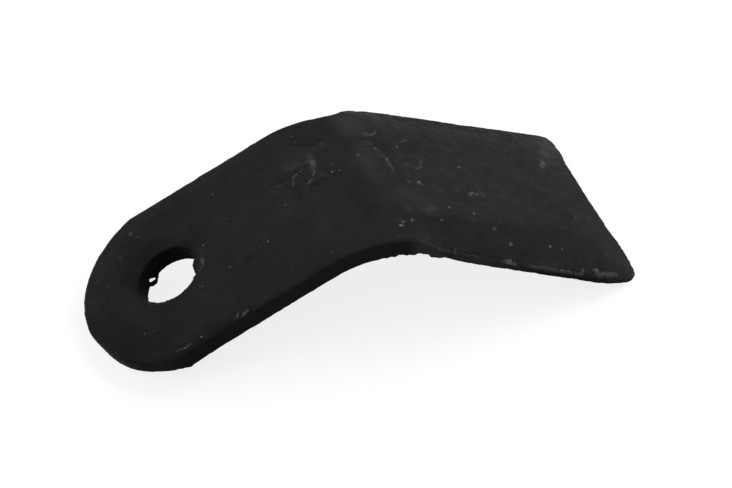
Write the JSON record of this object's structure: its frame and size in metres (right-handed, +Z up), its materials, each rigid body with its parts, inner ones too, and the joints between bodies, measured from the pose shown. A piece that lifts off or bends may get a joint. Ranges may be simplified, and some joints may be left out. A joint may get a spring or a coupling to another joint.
{
  "type": "mulcher blade, half of a y pair",
  "caption": "Bent flail blade of flat bar steel with a round bored end and a spread, bevelled leg; two bolted back to back make the Y of a mulcher rotor's cutter.",
  "frame": {"origin": "on the floor under the middle of the blade's box, the blade lying as it comes to rest on its round end and the two corners of its cut end", "axes": "+X from the bored end towards the cut end, +Y to the unworn side of the leg, +Z up, the face that mates with the other half of the pair uppermost"},
  "size_m": [0.137, 0.0646, 0.0319],
  "materials": {
    "black_steel": "satin"
  },
  "bodies": {
    "root": {"blade": "black_steel"}
  },
  "joints": []
}
